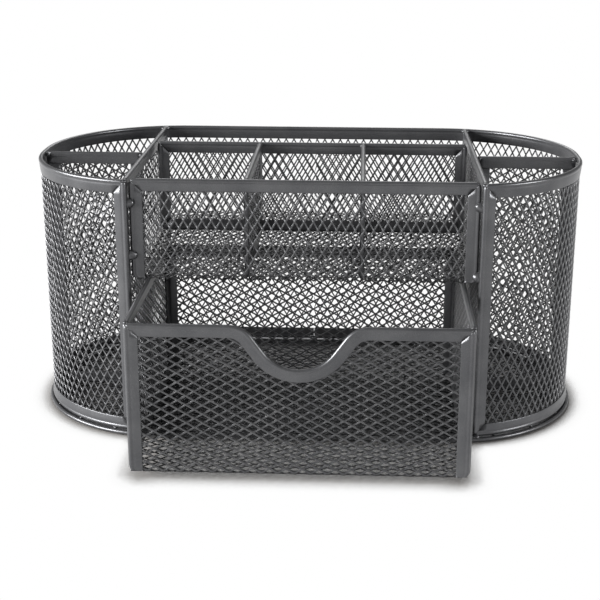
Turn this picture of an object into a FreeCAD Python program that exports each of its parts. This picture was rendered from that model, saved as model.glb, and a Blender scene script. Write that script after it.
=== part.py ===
# Wire mesh pen stand with a drawer: a rounded basket with four corner cups, a raised tray
# of three small compartments with a long slot behind them, and a drawer under the tray.
# Every panel is expanded metal sheet held in folded U channel edging.
# X is to the right, Y to the back, Z up. The origin is the centre of the base underside.
# The drawer is drawn pulled out part of the way.
import FreeCAD, Part
import Sketcher
import math
import os

V = FreeCAD.Vector
doc = FreeCAD.newDocument("pen_stand")

# Driving sizes in millimetres, angles in degrees
sizes = {
    # basket
    "overall_width": 220.0,
    "overall_depth": 112.0,
    "overall_height": 103.5,
    "end_flat": 6.0,
    "base_ledge": 1.1,
    # expanded metal and edging
    "mesh_thickness": 0.9,
    "channel_steel": 0.45,
    "channel_gap": 0.1,
    "channel_depth": 4.9,
    "joint_gap": 0.1,
    "panel_corner": 2.2,
    "nose_bevel": 0.6,
    "sheet_setback": 0.5,
    "long_pitch": 44.0,
    "short_pitch": 22.0,
    "strand_width": 4.0,
    # front bay and cups
    "bay_half_width": 68.3,
    "post_side_gap": 0.3,
    "cup_divider_offset": 4.8,
    # tray
    "tray_underside": 63.6,
    "tray_setback": 3.3,
    "tray_side_gap": 0.5,
    "slot_depth": 34.0,
    "middle_compartment": 43.8,
    "bend_radius": 1.2,
    # welds
    "bead_width": 3.0,
    "bead_depth": 1.5,
    "bead_height": 4.0,
    "upper_bead_drop": 9.3,
    "left_lower_bead_drop": 29.5,
    "right_lower_bead_drop": 36.6,
    # drawer
    "drawer_width": 125.4,
    "drawer_rear_room": 6.0,
    "drawer_top": 60.7,
    "drawer_underside_gap": 0.4,
    "drawer_front_setback": 0.5,
    "drawer_pulled_out": 38.5,
    "scoop_half_width": 25.0,
    "scoop_depth": 16.5,
    "scoop_bottom_radius": 15.0,
    "scoop_shoulder_radius": 10.6,
    # how far a cutting tool reaches past what it cuts
    "overrun": 2.0,
}

sheet = doc.addObject("Spreadsheet::Sheet", "sizes")
for row, (alias, value) in enumerate(sizes.items(), start=1):
    sheet.set("A%d" % row, alias)
    sheet.set("B%d" % row, str(value))
    sheet.setAlias("B%d" % row, alias)
doc.recompute()


def size(alias):
    return float(sheet.get(alias))


# Sizes that follow from the driving ones
W, D, H = size("overall_width"), size("overall_depth"), size("overall_height")
end_radius = (D - size("end_flat")) / 2
over = size("overrun")
mesh = size("mesh_thickness")
slot = mesh + 2 * size("channel_gap")
edge = slot + 2 * size("channel_steel")
nose = size("channel_steel") + size("channel_gap")
hold = nose + size("sheet_setback")
deep = size("channel_depth")
gap = size("joint_gap")
bay = size("bay_half_width")
tray_half = bay - edge - size("tray_side_gap")
EDGE = "(sizes.mesh_thickness + 2 * (sizes.channel_gap + sizes.channel_steel))"
SLOT = "(sizes.mesh_thickness + 2 * sizes.channel_gap)"
NOSE = "(sizes.channel_steel + sizes.channel_gap)"
END_RADIUS = "(sizes.overall_depth - sizes.end_flat) / 2"
HOLD = "(sizes.channel_steel + sizes.channel_gap + sizes.sheet_setback)"

made = []


def finish(obj, label):
    # a sub-part's label is the name of its file
    obj.Label = label
    made.append(obj)
    return obj


def feature(label, shape):
    obj = doc.addObject("Part::Feature", label + "_shape")
    obj.Shape = shape
    return obj


def cut(base, tool, label):
    obj = doc.addObject("Part::Cut", label + "_cut")
    obj.Base = base
    obj.Tool = tool
    return obj


def bound_box(label, corner, dims):
    # a Part box whose corner and sides are expressions on the sheet
    obj = doc.addObject("Part::Box", label + "_blank")
    for name, text in zip(("Placement.Base.x", "Placement.Base.y", "Placement.Base.z"), corner):
        obj.setExpression(name, text)
    for name, text in zip(("Length", "Width", "Height"), dims):
        obj.setExpression(name, text)
    return obj


def block(low, high):
    return Part.makeBox(high.x - low.x, high.y - low.y, high.z - low.z, low)


# Rounded rectangle sketch, centred on the origin, bound to the sheet
def rounded_sketch(body, name, insets, height="0"):
    plane = [f for f in body.Origin.OriginFeatures if f.Role == "XY_Plane"][0]
    sketch = body.newObject("Sketcher::SketchObject", name)
    sketch.AttachmentSupport = [(plane, "")]
    sketch.MapMode = "FlatFace"
    sketch.setExpression("AttachmentOffset.Base.z", height)
    for inset in insets:
        first = sketch.GeometryCount
        r = end_radius
        hx, hy = W / 2, D / 2
        cx, cy = hx - r, hy - r
        sketch.addGeometry(Part.LineSegment(V(-cx, -hy, 0), V(cx, -hy, 0)))
        sketch.addGeometry(Part.ArcOfCircle(Part.Circle(V(cx, -cy, 0), V(0, 0, 1), r), -math.pi / 2, 0))
        sketch.addGeometry(Part.LineSegment(V(hx, -cy, 0), V(hx, cy, 0)))
        sketch.addGeometry(Part.ArcOfCircle(Part.Circle(V(cx, cy, 0), V(0, 0, 1), r), 0, math.pi / 2))
        sketch.addGeometry(Part.LineSegment(V(cx, hy, 0), V(-cx, hy, 0)))
        sketch.addGeometry(Part.ArcOfCircle(Part.Circle(V(-cx, cy, 0), V(0, 0, 1), r), math.pi / 2, math.pi))
        sketch.addGeometry(Part.LineSegment(V(-hx, cy, 0), V(-hx, -cy, 0)))
        sketch.addGeometry(Part.ArcOfCircle(Part.Circle(V(-cx, -cy, 0), V(0, 0, 1), r), math.pi, 1.5 * math.pi))
        for i in range(8):
            here, following = first + i, first + (i + 1) % 8
            sketch.addConstraint(Sketcher.Constraint("Tangent", here, 2, following, 1))
        for i in (0, 4):
            sketch.addConstraint(Sketcher.Constraint("Horizontal", first + i))
        for i in (2, 6):
            sketch.addConstraint(Sketcher.Constraint("Vertical", first + i))
        for i in (3, 5, 7):
            sketch.addConstraint(Sketcher.Constraint("Equal", first + 1, first + i))
        sketch.addConstraint(Sketcher.Constraint("Symmetric", first, 1, first + 4, 1, -1, 1))
        bounds = (
            ("Radius", (first + 1,), end_radius, END_RADIUS),
            ("DistanceX", (-1, 1, first + 2, 1), hx, "sizes.overall_width / 2"),
            ("DistanceY", (-1, 1, first + 4, 1), hy, "sizes.overall_depth / 2"),
        )
        for kind, where, value, text in bounds:
            index = sketch.addConstraint(Sketcher.Constraint(kind, *where, value))
            sketch.setExpression("Constraints[%d]" % index, text + " - (" + inset + ")")
    return sketch


def pad(body, name, sketch, length):
    obj = body.newObject("PartDesign::Pad", name)
    obj.Profile = sketch
    obj.setExpression("Length", length)
    return obj


def pocket(body, name, sketch, length):
    # cuts upward from the sketch's plane
    obj = body.newObject("PartDesign::Pocket", name)
    obj.Profile = sketch
    obj.Reversed = True
    obj.setExpression("Length", length)
    return obj


# The lattice of an expanded sheet: whole diamonds, and halves along a window's borders
def lattice(width, height, pitch_u, pitch_v):
    columns = max(1, round(width / pitch_u))
    rows = max(1, round(height / pitch_v))
    cell_u, cell_v = width / columns, height / rows
    reach = cell_u * cell_v / 2 / math.hypot(cell_u, cell_v)
    open_share = (reach - size("strand_width") / 2) / reach
    a, b = cell_u / 2 * open_share, cell_v / 2 * open_share
    tiny = cell_v / 100
    diamonds = []
    for i in range(2 * columns + 1):
        for j in range(2 * rows + 1):
            if (i + j) % 2 == 1:
                continue
            u, v = i * cell_u / 2, j * cell_v / 2
            corners = [(u - a, v), (u, v - b), (u + a, v), (u, v + b)]
            inside = [c for c in corners
                      if -tiny < c[0] < width + tiny and -tiny < c[1] < height + tiny]
            if len(inside) > 2:
                diamonds.append(inside)
    return diamonds


def prisms(diamonds, origin, along_u, along_v, depth):
    # one cutter for each diamond, reaching a depth to both sides of the sheet
    normal = along_u.cross(along_v)
    cutters = []
    for corners in diamonds:
        points = [origin + along_u * u + along_v * v - normal * depth for u, v in corners]
        cutters.append(polygon_face(points).extrude(normal * 2 * depth))
    return cutters


def window_cutters(origin, along_u, along_v, width, height, long_along_u):
    pitches = (size("long_pitch"), size("short_pitch"))
    pitch_u, pitch_v = pitches if long_along_u else pitches[::-1]
    return prisms(lattice(width, height, pitch_u, pitch_v), origin, along_u, along_v, over)


X, Y, Z = V(1, 0, 0), V(0, 1, 0), V(0, 0, 1)

# Channel edging of a flat panel
# The panel's outline is drawn in a plane, the channel is a band along it with a slot for
# the sheet. The band is then cut into lengths that meet in mitres.


def outer_edges(shape, outline, normal):
    # the edges along the outline, on both faces of the channel
    found = []
    half = edge / 2
    for e in shape.Edges:
        middle = e.valueAt((e.FirstParameter + e.LastParameter) / 2)
        lift = (middle - outline.CenterOfMass).dot(normal)
        if abs(abs(lift) - half) > nose / 10:
            continue
        flat = Part.Vertex(middle - normal * lift)
        if flat.distToShape(outline.OuterWire)[0] < nose / 10:
            found.append(e)
    return found


def channel_band(outline, window, inside, normal):
    # faces in the panel's middle plane: the slot ends inside the edge of the last one
    band = outline.cut(window)
    solid = band.extrude(normal * edge)
    solid.translate(normal * -edge / 2)
    groove = inside.makeOffset2D(-nose).extrude(normal * slot)
    groove.translate(normal * -slot / 2)
    solid = solid.cut(groove)
    solid = solid.makeChamfer(size("nose_bevel"), outer_edges(solid, outline, normal))
    return solid


def region(points, normal, thickness):
    body = polygon_face(points).extrude(normal * thickness)
    body.translate(normal * -thickness / 2)
    return body


def polygon_face(points):
    return Part.Face(Part.makePolygon(points + points[:1]))


def rectangle(origin, along_u, along_v, width, height):
    corners = [(0, 0), (width, 0), (width, height), (0, height)]
    return polygon_face([origin + along_u * u + along_v * v for u, v in corners])


def eased_rectangle(origin, along_u, along_v, width, height, square_feet=False):
    # each rounded corner is drawn as two flats, which keeps its facets few
    r = size("panel_corner")
    lean = r * (1 - math.cos(math.pi / 4))
    points = []
    for side_u, side_v in ((0, 0), (1, 0), (1, 1), (0, 1)):
        corner = origin + along_u * side_u * width + along_v * side_v * height
        into_u = along_u * (1 - 2 * side_u)
        into_v = along_v * (1 - 2 * side_v)
        if square_feet and side_v == 0:
            points.append(corner)
            continue
        turn = [corner + into_v * r, corner + (into_u + into_v) * lean, corner + into_u * r]
        points += turn if side_u == side_v else turn[::-1]
    return polygon_face(points)


def frame_lengths(origin, along_u, along_v, width, height, open_bottom=False):
    # mitred lengths of channel on all four edges, or on the top and sides alone
    normal = along_u.cross(along_v)
    outline = eased_rectangle(origin, along_u, along_v, width, height, open_bottom)
    drop = over if open_bottom else 0
    inside = eased_rectangle(origin - along_v * drop, along_u, along_v, width, height + drop, open_bottom)
    low = -over if open_bottom else deep
    window = rectangle(origin + along_u * deep + along_v * low, along_u, along_v,
                       width - 2 * deep, height - deep - low)
    band = channel_band(outline, window, inside, normal)

    def at(u, v):
        return origin + along_u * u + along_v * v

    far_u, far_v = width + over, height + over
    inner_u, inner_v = width - deep, height - deep
    lengths = [
        [at(-over, far_v), at(far_u, far_v), at(inner_u, inner_v), at(deep, inner_v)],
        [at(-over, far_v), at(deep, inner_v), at(deep, low), at(-over, -over)],
        [at(far_u, far_v), at(inner_u, inner_v), at(inner_u, low), at(far_u, -over)],
    ]
    if not open_bottom:
        lengths.append([at(-over, -over), at(far_u, -over), at(inner_u, deep), at(deep, deep)])
    pieces = []
    for points in lengths:
        pieces += band.common(region(points, normal, edge + over)).Solids
    return Part.Compound(pieces)


# A flat mesh panel: a thin sheet bound to the sheet of sizes, with its lattice cut out
def panel_sheet(label, corner, dims, cutters):
    blank = bound_box(label, corner, dims)
    openings = feature(label + "_openings", Part.Compound(cutters))
    return finish(cut(blank, openings, label), label)


def framed_panel(label, origin, along_u, along_v, width, height, corner, dims, long_along_u=False):
    inner = origin + along_u * deep + along_v * deep
    cutters = window_cutters(inner, along_u, along_v, width - 2 * deep, height - 2 * deep, long_along_u)
    panel_sheet(label + "_mesh", corner, dims, cutters)
    edging = feature(label + "_edging", frame_lengths(origin, along_u, along_v, width, height))
    finish(edging, label + "_edging")


# Base: a rounded sheet in a channel that stands proud of the wall
LEDGE = "-sizes.base_ledge"
body = doc.addObject("PartDesign::Body", "base_sheet")
sketch = rounded_sketch(body, "base_outline", [LEDGE + " + " + HOLD], NOSE)
pad(body, "base_pad", sketch, "sizes.mesh_thickness")
doc.recompute()
base_window = Part.Face(sketch.Shape.Wires[0])
base_window = base_window.makeOffset2D(hold - deep)
span_x, span_y = W - 2 * deep, D - 2 * deep
cutters = window_cutters(V(-span_x / 2, -span_y / 2, nose), X, Y, span_x, span_y, True)
inside = base_window.extrude(Z * (mesh + 2 * over))
inside.translate(Z * -over)
openings = feature("base_openings", inside.common(Part.Compound(cutters)))
finish(cut(body, openings, "base_mesh"), "base_mesh")

body = doc.addObject("PartDesign::Body", "base_channel")
outline = rounded_sketch(body, "rim_outline", [LEDGE, LEDGE + " + sizes.channel_depth"])
pad(body, "rim_pad", outline, EDGE)
groove = rounded_sketch(body, "rim_groove", [LEDGE + " + " + NOSE], "sizes.channel_steel")
pocket(body, "rim_slot", groove, SLOT)
doc.recompute()
tip = body.Tip
bevel = body.newObject("PartDesign::Chamfer", "rim_nose")
reach = W / 2 + size("base_ledge")
noses = []
for i, e in enumerate(tip.Shape.Edges, start=1):
    middle = e.valueAt((e.FirstParameter + e.LastParameter) / 2)
    level = middle.z > edge - nose / 10
    box = e.BoundBox
    outward = max(abs(box.XMin), abs(box.XMax)) > reach - deep / 2 or \
        max(abs(box.YMin), abs(box.YMax)) > D / 2 + size("base_ledge") - deep / 2
    if level and outward:
        noses.append("Edge%d" % i)
bevel.Base = (tip, noses)
bevel.setExpression("Size", "sizes.nose_bevel")
body.Tip = bevel
finish(body, "base_edging")

# Outer wall: two sheets that meet at the middle of the back, in one run of edging
wall_tall = H - edge


def wall_path():
    # the middle line of the wall from post to post: arcs have a centre, a radius and two angles.
    # Each post stands in front of a partition, close beside the tray.
    r = end_radius - edge / 2
    cx, cy = W / 2 - end_radius, D / 2 - end_radius
    start = math.asin((tray_half + size("post_side_gap") - cx) / (r - edge / 2))
    quarter = math.pi / 2
    return [
        ("arc", V(-cx, -cy, 0), r, -quarter - start, -2 * quarter),
        ("run", V(-cx - r, -cy, 0), V(-cx - r, cy, 0)),
        ("arc", V(-cx, cy, 0), r, 2 * quarter, quarter),
        ("run", V(-cx, cy + r, 0), V(cx, cy + r, 0)),
        ("arc", V(cx, cy, 0), r, quarter, 0),
        ("run", V(cx + r, cy, 0), V(cx + r, -cy, 0)),
        ("arc", V(cx, -cy, 0), r, 0, -quarter + start),
    ]


def path_length(stretch):
    if stretch[0] == "run":
        return (stretch[2] - stretch[1]).Length
    return stretch[2] * abs(stretch[4] - stretch[3])


def path_frame(distance):
    # the point and heading at a distance along the wall's middle line
    stretches = wall_path()
    for stretch in stretches:
        length = path_length(stretch)
        if distance <= length or stretch is stretches[-1]:
            break
        distance -= length
    share = distance / length
    if stretch[0] == "run":
        heading = (stretch[2] - stretch[1]).normalize()
        return stretch[1] + (stretch[2] - stretch[1]) * share, heading
    centre, r, first, last = stretch[1:]
    angle = first + (last - first) * share
    outward = V(math.cos(angle), math.sin(angle), 0)
    return centre + outward * r, V(math.sin(angle), -math.cos(angle), 0)


def strip_solid(places, thickness, low, high):
    # a strip along the wall's middle line, through the given places
    sides = []
    for aside in (thickness / 2, -thickness / 2):
        points = []
        for place in places:
            point, heading = path_frame(place)
            points.append(point + Z * low + heading.cross(Z) * aside)
        sides.append(points)
    return polygon_face(sides[0] + sides[1][::-1]).extrude(Z * (high - low))


# The strip is flat between neighbouring lines of the lattice, which keeps its facets few
wall_run = sum(path_length(stretch) for stretch in wall_path())
window_low = edge + deep
window_tall = H - deep - window_low
window_run = wall_run - 2 * deep
columns = max(1, round(window_run / size("short_pitch")))
half_cell = window_run / columns / 2
lines = [deep + i * half_cell for i in range(2 * columns + 1)]
cutters = []
for corners in lattice(window_run, window_tall, size("short_pitch"), size("long_pitch")):
    middle_u = (min(u for u, v in corners) + max(u for u, v in corners)) / 2
    middle_u = round(middle_u / half_cell) * half_cell
    point, heading = path_frame(deep + middle_u)
    local = [(u - middle_u, v) for u, v in corners]
    cutters += prisms([local], point + Z * window_low, heading, Z, over)
openings = feature("wall_openings", Part.Compound(cutters))
seam = wall_run / 2
halves = (("left", [hold] + lines[:columns] + [seam - gap / 2]),
          ("right", [seam + gap / 2] + lines[columns + 1:] + [wall_run - hold]))
for side, places in halves:
    blank = feature(side + "_wall_blank", strip_solid(places, mesh, edge + hold, H - hold))
    finish(cut(blank, openings, side + "_wall_mesh"), side + "_wall_mesh")


def eased_plan(inset, low):
    # the channel's plan with its end corners eased, drawn in by an inset
    ease = size("nose_bevel")
    flat = ease - inset * (2 - math.sqrt(2))
    half = edge / 2 - inset
    trail = [(inset, half - flat), (inset + flat, half)] + [(line, half) for line in lines]
    trail += [(wall_run - inset - flat, half), (wall_run - inset, half - flat)]
    points = []
    for place, aside in trail + [(place, -aside) for place, aside in trail[::-1]]:
        point, heading = path_frame(place)
        points.append(point + Z * low + heading.cross(Z) * aside)
    return Part.makePolygon(points + points[:1])


def wall_edging():
    # channel along the strip's whole border, bevelled on its nose, cut into four lengths
    ease = size("nose_bevel")
    levels = ((ease, edge), (0, edge + ease), (0, H - ease), (ease, H))
    solid = Part.makeLoft([eased_plan(inset, low) for inset, low in levels], True, True)
    groove = strip_solid([nose] + lines + [wall_run - nose], slot, edge + nose, H - nose)
    window = strip_solid(lines, 2 * edge, edge + deep, H - deep)
    solid = solid.cut(groove).cut(window)
    posts = []
    for place, side in ((0, 1), (wall_run, -1)):
        point, heading = path_frame(place)
        along = heading * side
        corners = ((-over, edge - over), (-over, H + over), (deep, H - deep), (deep + over, H - deep),
                   (deep + over, edge + deep), (deep, edge + deep))
        tool = region([point + along * u + Z * v for u, v in corners], along.cross(Z), 2 * edge)
        posts.append(tool)
    left, right = [solid.common(tool) for tool in posts]
    rest = solid.cut(posts[0]).cut(posts[1])
    upper = rest.common(block(V(-W, -D, H / 2), V(W, D, H + over)))
    lower = rest.common(block(V(-W, -D, 0), V(W, D, H / 2)))
    return left, right, upper, lower


names = ("left_post_edging", "right_post_edging", "wall_top_edging", "wall_bottom_edging")
for name, shape in zip(names, wall_edging()):
    finish(feature(name, shape.Solids[0]), name)


def wall_reach(target, along, outward):
    # how far out the wall's inner face is, where it crosses a place along an axis
    ease = size("nose_bevel")
    frames = [path_frame(place) for place in [ease] + lines + [wall_run - ease]]
    inner = [point + heading.cross(Z) * edge / 2 for point, heading in frames]
    reach = 0
    for near, far in zip(inner, inner[1:]):
        first, last = near.dot(along), far.dot(along)
        if first != last and min(first, last) <= target <= max(first, last):
            crossing = near + (far - near) * ((target - first) / (last - first))
            reach = max(reach, crossing.dot(outward))
    return reach


# Partitions between the cups and the bay, full height, from behind the posts to the back
partition_front = gap - wall_reach(bay, X, Y * -1)
partition_rear = wall_reach(bay, X, Y) - gap
partition_x = bay - edge / 2
partition_run = partition_rear - partition_front
TALL = "sizes.overall_height - " + EDGE
for side, label in ((-1, "left"), (1, "right")):
    origin = V(side * partition_x, partition_front, edge)
    corner = ("%d * (sizes.bay_half_width - %s / 2) - sizes.mesh_thickness / 2" % (side, EDGE),
              "%.9f mm" % (partition_front + hold),
              EDGE + " + " + HOLD)
    dims = ("sizes.mesh_thickness", "%.9f mm" % (partition_run - 2 * hold), TALL + " - 2 * " + HOLD)
    framed_panel(label + "_partition", origin, Y, Z, partition_run, wall_tall, corner, dims, True)

# Cross dividers of the end cups
divider_y = -size("cup_divider_offset")
divider_outer = min(wall_reach(divider_y + half * edge / 2, Y, X) for half in (-1, 1)) - gap
divider_run = divider_outer - bay - gap
for side, label in ((-1, "left"), (1, "right")):
    low_x = bay + gap if side > 0 else -divider_outer
    origin = V(low_x, divider_y, edge)
    corner = ("%.9f mm" % (low_x + hold),
              "-sizes.cup_divider_offset - sizes.mesh_thickness / 2",
              EDGE + " + " + HOLD)
    dims = ("%.9f mm" % (divider_run - 2 * hold), "sizes.mesh_thickness", TALL + " - 2 * " + HOLD)
    framed_panel(label + "_cup_divider", origin, X, Z, divider_run, wall_tall, corner, dims, True)


# Bent sheets: a strip bent along X, drawn as its side view in the YZ plane
def bent_sheet(front_y, low_z, top_z, rear_y, rear_top, half_width):
    # front wall, floor and, where rear_top is above the floor, a rear wall
    outer = size("bend_radius")
    inner = outer - mesh
    left = -half_width
    has_rear = rear_top > low_z + outer

    def bend(centre_y, centre_z, r, side):
        lean = math.cos(math.pi / 4) * r
        ends = [V(left, centre_y + side * r, centre_z), V(left, centre_y, centre_z - r)]
        return Part.Arc(ends[0], V(left, centre_y + side * lean, centre_z - lean), ends[1]).toShape()

    def side_view(front, rear, low, r):
        edges = [Part.makeLine(V(left, front, top_z), V(left, front, low + r)), bend(front + r, low + r, r, -1)]
        if has_rear:
            end = V(left, rear, rear_top)
            edges.append(Part.makeLine(V(left, front + r, low), V(left, rear - r, low)))
            edges += [bend(rear - r, low + r, r, 1), Part.makeLine(V(left, rear, low + r), end)]
        else:
            end = V(left, rear_y, low)
            edges.append(Part.makeLine(V(left, front + r, low), end))
        return edges, V(left, front, top_z), end

    shell, first, last = side_view(front_y, rear_y, low_z, outer)
    lining, first_in, last_in = side_view(front_y + mesh, rear_y - mesh, low_z + mesh, inner)
    ends = [Part.makeLine(first, first_in), Part.makeLine(last, last_in)]
    wire = Part.Wire(Part.__sortEdges__(shell + lining + ends))
    return Part.Face(wire).extrude(X * 2 * half_width)


# Tray: front wall and floor bent from one sheet, its front edged on the top and sides
tray_low = size("tray_underside")
tray_face = -D / 2 + size("tray_setback")
tray_floor = tray_low + mesh
tray_rear = wall_reach(tray_half, X, Y) - gap
bend = size("bend_radius")
front_sheet = tray_face + (edge - mesh) / 2
tray = bent_sheet(front_sheet, tray_low, H - hold, tray_rear, tray_low, tray_half - hold)
front_low = tray_low + bend
front_tall = H - front_low
cutters = window_cutters(V(-tray_half + deep, front_sheet, front_low), X, Z,
                         2 * (tray_half - deep), front_tall - deep, False)
floor_front = front_sheet + bend + deep / 2
floor_run = tray_rear - deep / 2 - floor_front
cutters += window_cutters(V(-tray_half + deep, floor_front, tray_low), X, Y,
                          2 * (tray_half - deep), floor_run, False)
tray_blank = feature("tray_blank", tray)
openings = feature("tray_openings", Part.Compound(cutters))
finish(cut(tray_blank, openings, "tray_mesh"), "tray_mesh")
edging = feature("tray_front_edging", frame_lengths(
    V(-tray_half, tray_face + edge / 2, front_low), X, Z, 2 * tray_half, front_tall, open_bottom=True))
finish(edging, "tray_front_edging")

# Rear panel, between the small compartments and the long slot
tray_tall = H - tray_floor
slot_front = D / 2 - edge - size("slot_depth")
panel_y = slot_front - edge / 2
origin = V(-tray_half, panel_y, tray_floor)
FLOOR = "sizes.tray_underside + sizes.mesh_thickness"
HALF = "(sizes.bay_half_width - " + EDGE + " - sizes.tray_side_gap)"
corner = ("-" + HALF + " + " + HOLD,
          "sizes.overall_depth / 2 - 1.5 * " + EDGE + " - sizes.slot_depth - sizes.mesh_thickness / 2",
          FLOOR + " + " + HOLD)
dims = ("2 * " + HALF + " - 2 * " + HOLD, "sizes.mesh_thickness",
        "sizes.overall_height - (" + FLOOR + ") - 2 * " + HOLD)
framed_panel("rear_panel", origin, X, Z, 2 * tray_half, tray_tall, corner, dims)

# Tray dividers, from the front wall's edging to the rear panel
divider_front = tray_face + edge + gap
divider_rear = panel_y - edge / 2 - gap
divider_run = divider_rear - divider_front
for side, label in ((-1, "left"), (1, "right")):
    origin = V(side * size("middle_compartment") / 2, divider_front, tray_floor)
    corner = ("%d * sizes.middle_compartment / 2 - sizes.mesh_thickness / 2" % side,
              "%.9f mm" % (divider_front + hold), FLOOR + " + " + HOLD)
    dims = ("sizes.mesh_thickness", "%.9f mm" % (divider_run - 2 * hold),
            "sizes.overall_height - (" + FLOOR + ") - 2 * " + HOLD)
    framed_panel(label + "_tray_divider", origin, Y, Z, divider_run, tray_tall, corner, dims, True)

# Weld beads that join the tray front to the posts
beads = []
bead_x = tray_half + size("post_side_gap") - size("bead_width")
for side, lower in ((-1, "left_lower_bead_drop"), (1, "right_lower_bead_drop")):
    for drop in (size("upper_bead_drop"), size(lower)):
        x = bead_x if side > 0 else -bead_x - size("bead_width")
        bead = Part.makeBox(size("bead_width"), size("bead_depth"), size("bead_height"),
                            V(x, tray_face - size("bead_depth"), H - drop - size("bead_height") / 2))
        lengthwise = [e for e in bead.Edges if abs(e.tangentAt(0).z) > 0.5]
        beads.append(bead.makeChamfer(size("bead_depth") / 3, lengthwise))
finish(feature("tray_weld_beads", Part.Compound(beads)), "tray_weld_beads")

# Drawer: a pan bent from one sheet, two framed sides, and edging on its front and back
drawer_half = size("drawer_width") / 2
drawer_low = edge + size("drawer_underside_gap")
drawer_high = size("drawer_top")
drawer_face = -D / 2 + size("drawer_front_setback") - size("drawer_pulled_out")
drawer_length = D - edge - size("drawer_front_setback") - size("drawer_rear_room")
drawer_back = drawer_face + drawer_length
panel_low = drawer_low + bend
panel_tall = drawer_high - panel_low


def scoop_outline(y, low, inset=0):
    # the scoop's edge from its left shoulder to its right one, as tangent arcs and lines,
    # closed over the top. The inset moves it into the panel.
    depth = size("scoop_depth")
    half = size("scoop_half_width")
    r_low = size("scoop_bottom_radius")
    r_high = size("scoop_shoulder_radius")
    centre_low = V(0, y, drawer_high - depth + r_low)
    centre_high = V(half, y, drawer_high - r_high)
    # slope of the line that is tangent to both arcs, on opposite sides
    link = centre_high - centre_low
    span = math.hypot(link.x, link.z)
    rise = math.atan2(link.z, link.x) + math.asin((r_low + r_high) / span)
    aside = V(math.sin(rise), 0, -math.cos(rise))
    r_low, r_high = r_low + inset, r_high - inset
    p0 = centre_low - Z * r_low
    p2 = centre_low + aside * r_low
    half_turn = V(math.sin(rise / 2), 0, -math.cos(rise / 2))
    p1 = centre_low + half_turn * r_low
    p3 = centre_high - aside * r_high
    p4 = centre_high - half_turn * r_high
    p5 = centre_high + Z * r_high
    right = [p0, p1, p2, p3, p4, p5]
    left = [V(-p.x, p.y, p.z) for p in right]
    top = drawer_high + over
    return [
        Part.Arc(left[2], right[0], right[2]).toShape(),
        Part.makeLine(right[2], right[3]),
        Part.Arc(right[3], right[4], right[5]).toShape(),
        Part.makeLine(right[5], V(right[5].x, y, top)),
        Part.makeLine(V(right[5].x, y, top), V(left[5].x, y, top)),
        Part.makeLine(V(left[5].x, y, top), left[5]),
        Part.Arc(left[5], left[4], left[3]).toShape(),
        Part.makeLine(left[3], left[2]),
    ]


def scoop_face(y, inset=0):
    return Part.Face(Part.Wire(scoop_outline(y, panel_low, inset)))


drawer_sheet = drawer_face + (edge - mesh) / 2
rear_sheet = drawer_back - (edge - mesh) / 2
pan_top = drawer_high - hold
pan = bent_sheet(drawer_sheet, drawer_low, pan_top, rear_sheet, pan_top, drawer_half - hold)
scoop_tool = scoop_face(drawer_sheet - over, hold).extrude(Y * 2 * over)
pan = pan.cut(scoop_tool)
cutters = window_cutters(V(-drawer_half + deep, drawer_sheet, panel_low), X, Z,
                         2 * (drawer_half - deep), panel_tall - deep, True)
keep_out = scoop_face(drawer_sheet - 2 * over, deep).extrude(Y * 4 * over)
cutters = Part.Compound(cutters).cut(keep_out).Solids
cutters += window_cutters(V(-drawer_half + deep, rear_sheet - mesh, panel_low), X, Z,
                          2 * (drawer_half - deep), panel_tall - deep, True)
floor_front = drawer_sheet + bend + deep / 2
cutters += window_cutters(V(-drawer_half + deep, floor_front, drawer_low), X, Y,
                          2 * (drawer_half - deep), rear_sheet - bend - deep / 2 - floor_front, True)
pan_blank = feature("drawer_pan_blank", pan)
openings = feature("drawer_pan_openings", Part.Compound(cutters))
finish(cut(pan_blank, openings, "drawer_pan_mesh"), "drawer_pan_mesh")

# Front edging: the rim that dips into the scoop, and the two sides
middle_y = drawer_face + edge / 2
origin = V(-drawer_half, middle_y, panel_low)
outline = eased_rectangle(origin, X, Z, 2 * drawer_half, panel_tall, square_feet=True)
inside = eased_rectangle(origin - Z * over, X, Z, 2 * drawer_half, panel_tall + over, square_feet=True)
window = rectangle(origin + X * deep - Z * over, X, Z, 2 * (drawer_half - deep), panel_tall - deep + over)
outline = outline.cut(scoop_face(middle_y)).Faces[0]
inside = inside.cut(scoop_face(middle_y)).Faces[0]
window = window.cut(scoop_face(middle_y, deep)).Faces[0]
band = channel_band(outline, window, inside, Y * -1)
pieces = []
for side in (-1, 1):
    points = [origin + X * (drawer_half + side * x) + Z * z for x, z in
              ((drawer_half + over, -over), (drawer_half + over, panel_tall + over),
               (drawer_half - deep, panel_tall - deep), (drawer_half - deep, -over))]
    tool = region(points, Y, edge + over)
    pieces.append((band.common(tool), tool))
rim = band.cut(pieces[0][1]).cut(pieces[1][1])
for label, shape in (("drawer_front_rim", rim), ("drawer_front_left_edging", pieces[0][0]),
                     ("drawer_front_right_edging", pieces[1][0])):
    finish(feature(label, shape.Solids[0]), label)

edging = feature("drawer_back_edging", frame_lengths(
    V(-drawer_half, drawer_back - edge / 2, panel_low), X, Z, 2 * drawer_half, panel_tall, open_bottom=True))
finish(edging, "drawer_back_edging")

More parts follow.
